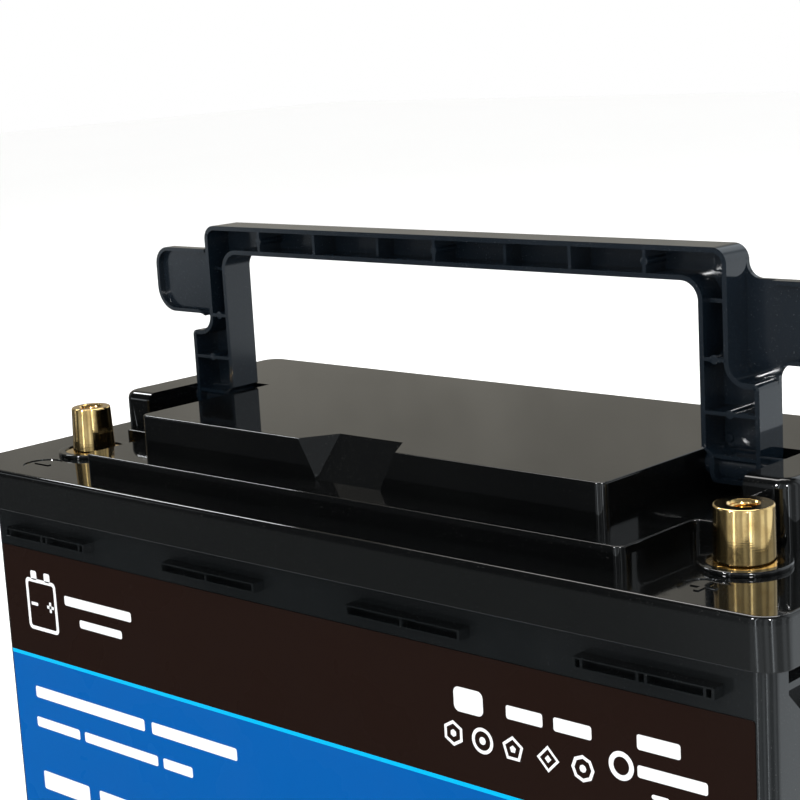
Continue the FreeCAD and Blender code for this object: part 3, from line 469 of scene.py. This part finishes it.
def print_on_label():
    """White print with no lettering: a battery sign, blank lines of print, and a row of plain shapes."""
    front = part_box("front_label")[0].y
    solid = [
        bar(-148.5, -145.0, 127.0, 130.5),
        bar(-140.5, -137.0, 127.0, 130.5),
        bar(-149.5, -145.5, 117.0, 118.2, 0.3),
        bar(-140.0, -136.0, 117.0, 118.2, 0.3),
        bar(-138.6, -137.4, 115.6, 119.6, 0.3),
        bar(59.8, 71.2, 119.6, 127.4, 2.0),
        *words(-129, -91, 119.4, 124.6, (1.0,), 2),
        *words(-121, -97, 112.2, 116.6, (1.0,), 2),
        *words(-152, -40, 79.3, 85.7, (10, 7), 4),
        *words(-153, -64, 67.6, 73.2, (5, 8, 3), 3),
        *words(-152, -20, 42.0, 52.4, (3, 5, 5), 6),
        *words(80, 111, 120.4, 126.4, (3, 3), 4),
        *words(126.6, 141, 121.4, 127.8, (1,), 2),
        *words(126.5, 149.5, 113.4, 118.6, (1,), 2),
        *words(131, 147, 108.6, 110.6, (2, 3), 1.4),
    ]
    rings = [
        (bar(-152, -134, 107.5, 127.5, 2.0), bar(-150.6, -135.4, 108.9, 126.1, 1.0)),
        (polygon(121, 116.2, 4.3, 32), polygon(121, 116.2, 2.7, 32)),
    ]
    for x, sides in ((59, 6), (70.4, 32), (82, 5), (95, 4), (107.5, 8)):
        rings.append((polygon(x, 112.2, 4.1, sides), polygon(x, 112.2, 3.0, sides)))
        solid.append(polygon(x, 112.2, 1.2, sides))
    mesh = bmesh.new()

    def corner(point):
        return mesh.verts.new((point[0] * MM, front - PRINT_T, point[1] * MM))

    for outline in solid:
        mesh.faces.new([corner(point) for point in outline])
    for outer, inner in rings:
        outside, inside = [corner(p) for p in outer], [corner(p) for p in inner]
        for i in range(len(outside)):
            j = (i + 1) % len(outside)
            mesh.faces.new((outside[i], outside[j], inside[j], inside[i]))
    grown = bmesh.ops.extrude_face_region(mesh, geom=mesh.faces[:])
    for vert in (v for v in grown["geom"] if isinstance(v, bmesh.types.BMVert)):
        vert.co.y = front
    piece("label_print", mesh, INK, "battery")


def pin_marks():
    """The low marks that the ejector pins leave on the floor of the handle's ribbed side."""
    floor_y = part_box("handle")[1].y - HANDLE_PLATE
    mesh = bmesh.new()
    marks = [(105.5, 245.4, 2.5, 0.35, 4), (-97.7, 243.2, 1.7, 0.25, ROUND), (-70.6, 243.6, 1.5, 0.15, ROUND)]
    for side in (-1, 1):
        marks += [(side * 107.6, 192.6, 1.6, 0.9, ROUND), (side * 109.4, 226.5, 1.5, 0.15, ROUND)]
    for x in (-42.6, 14.2, 71.0):
        marks.append((x, 246.8, 1.5, 0.15, ROUND))
    profile = ((1.0, -0.02), (0.97, 0.55), (0.82, 0.92), (0.55, 1.0))
    for x, z, radius, height, sides in marks:
        loops = []
        for share, rise in profile:
            reach, y = radius * share, floor_y - rise * height * MM
            outline = bar(x - reach, x + reach, z - reach, z + reach, 0.7)
            if sides == ROUND:
                outline = polygon(x, z, reach, sides)
            loops.append([mesh.verts.new((px * MM, y, pz * MM)) for px, pz in outline])
        for a, b in zip(loops, loops[1:]):
            for i in range(len(a)):
                j = (i + 1) % len(a)
                mesh.faces.new((a[i], a[j], b[j], b[i]))
        mesh.faces.new(loops[0])
        mesh.faces.new(loops[-1])
    piece("handle_pin_marks", mesh, FINISHES["handle_plastic"], "carry_handle")


for side in ("negative", "positive"):
    thread(side)
print_on_label()
pin_marks()


# ---- camera, light, floor --------------------------------------------------------------------------------
def camera():
    """A camera with a long lens, turned by its yaw, pitch and roll."""
    yaw, pitch, roll = (math.radians(v) for v in (CAMERA_YAW, CAMERA_PITCH, CAMERA_ROLL))
    ahead = Vector((-math.sin(yaw) * math.cos(pitch), math.cos(yaw) * math.cos(pitch), math.sin(pitch)))
    level = Vector((math.cos(yaw), math.sin(yaw), 0))
    upright = level.cross(ahead)
    right = level * math.cos(roll) + upright * math.sin(roll)
    up = upright * math.cos(roll) - level * math.sin(roll)
    data = bpy.data.cameras.new("camera")
    data.sensor_width, data.lens = SENSOR, CAMERA_LENS
    data.clip_start, data.clip_end = 0.01, 50
    obj = bpy.data.objects.new("camera", data)
    turn = Matrix((right, up, -ahead)).transposed().to_4x4()
    obj.matrix_world = Matrix.Translation(CAMERA_PLACE) @ turn
    bpy.context.scene.collection.objects.link(obj)
    bpy.context.scene.camera = obj


def softbox(name, place, aim, size, power, colour=(1, 1, 1), in_gloss=True, in_diffuse=True):
    """A rectangular area light at place, facing aim, that the camera doesn't see."""
    data = bpy.data.lights.new(name, "AREA")
    data.shape = "RECTANGLE"
    data.size, data.size_y = size
    data.energy, data.color = power, colour
    obj = bpy.data.objects.new(name, data)
    place, aim = Vector(place), Vector(aim)
    obj.matrix_world = Matrix.Translation(place) @ (aim - place).to_track_quat("-Z", "Y").to_matrix().to_4x4()
    obj.visible_camera = False
    obj.visible_glossy = in_gloss
    obj.visible_diffuse = in_diffuse
    bpy.context.scene.collection.objects.link(obj)


def surroundings():
    """A white room. Reflections see bright strips all round in the dark, and a beige wall to the rear."""
    world = bpy.data.worlds.new("room")
    world.use_nodes = True
    world.cycles.sampling_method = "NONE"  # the room is white to everything but reflections
    bpy.context.scene.world = world
    room = Nodes(world.node_tree)
    direction = room.add("TexCoord").outputs["Generated"]
    way = room.add("SeparateXYZ", {"Vector": direction})
    height = way.outputs["Z"]
    azimuth = room.math("ARCTAN2", way.outputs["Y"], way.outputs["X"])
    turned = room.add("MapRange", {"Value": azimuth, "From Min": -math.pi, "From Max": math.pi}).outputs[0]

    def ring(table):
        """Brightness by direction round the horizon."""
        ramp = room.add("ValToRGB", {"Fac": turned})
        stops = ramp.color_ramp.elements
        stops.remove(stops[1])
        for degrees, glow in table:
            stop = stops[0] if degrees == -180 else stops.new(degrees / 360 + 0.5)
            level = glow / BRIGHTEST
            stop.color = (level, level, level, 1)
        scale = tuple(BRIGHTEST * part for part in STRIP_TINT)
        return room.add("VectorMath", {0: ramp.outputs[0], 1: scale}, operation="MULTIPLY").outputs[0]

    strips = ring(STRIPS)
    rearward = room.add("VectorMath", {0: direction, 1: WALL_WAY}, operation="DOT_PRODUCT").outputs["Value"]
    patches = room.add("TexNoise", {"Vector": direction, "Scale": 16.0, "Detail": 6.0, "Roughness": 0.65})
    uneven = room.mix(room.fade(patches.outputs["Fac"], 0.3, 0.7), (0.9, 0.9, 0.9, 1), (1.08, 1.08, 1.08, 1))
    wall = room.mix(room.fade(rearward, 0.55, 0.8), SHADE, room.mix(1.0, WALL, uneven, "MULTIPLY"))
    window = room.mix(room.fade(height, 0.02, 0.1), ring(WINDOW), (0, 0, 0, 1))
    walls = room.mix(1.0, room.mix(1.0, strips, wall, "LIGHTEN"), window, "LIGHTEN")
    above = room.mix(room.fade(height, 0.6, 0.9), walls, CEILING)
    below = room.mix(room.fade(height, -0.65, -0.45), GROUND, strips)
    mirrored = room.mix(room.fade(height, -0.16, -0.1), below, above)
    shown = room.mix(room.add("LightPath").outputs["Is Glossy Ray"], (1.0, 1.0, 1.0, 1), mirrored)
    room.tree.links.new(shown, room.tree.nodes["Background"].inputs["Color"])


def floor():
    """A plain pale floor that reflections don't see, because the room has its own ground for them."""
    reach = 6.0
    corners = [(-reach, -reach, 0), (reach, -reach, 0), (reach, reach, 0), (-reach, reach, 0)]
    mesh = bpy.data.meshes.new("floor")
    mesh.from_pydata(corners, [], [(0, 1, 2, 3)])
    obj = bpy.data.objects.new("floor", mesh)
    bpy.context.scene.collection.objects.link(obj)
    glow = {"Emission_Color": (1, 1, 1, 1), "Emission_Strength": 0.2}
    finish = Finish("floor_paint", (0.86, 0.86, 0.85), 0.6, **glow)
    finish.wear("Base Color", finish.mix(finish.noise(3, 2), (0.86, 0.86, 0.855, 1), (0.9, 0.9, 0.895, 1)))
    mesh.materials.append(finish.material)
    obj.visible_glossy = False


camera()
surroundings()
floor()
middle = (cad_low + cad_high) / 2
softbox("overhead", (-0.5, 0.5, 1.7), middle, (1.3, 0.9), 20, (1.0, 0.98, 0.95))
softbox("glint", (-1.35, 0.02, 1.3), middle, (0.3, 0.3), 5.5, (0.95, 0.98, 1.0))
softbox("lamp_left", (-0.33, -1.3, 1.0), middle, (0.15, 0.15), 22, in_diffuse=False)
softbox("lamp_right", (1.12, -0.96, 1.0), middle, (0.15, 0.15), 22, in_diffuse=False)
softbox("front_fill", (0.5, -1.9, 0.9), middle, (1.6, 1.2), 8, in_gloss=False)
softbox("rear_fill", (-0.9, 1.9, 1.0), middle, (1.6, 1.2), 5, in_gloss=False)
bpy.context.scene.view_settings.view_transform = "Standard"
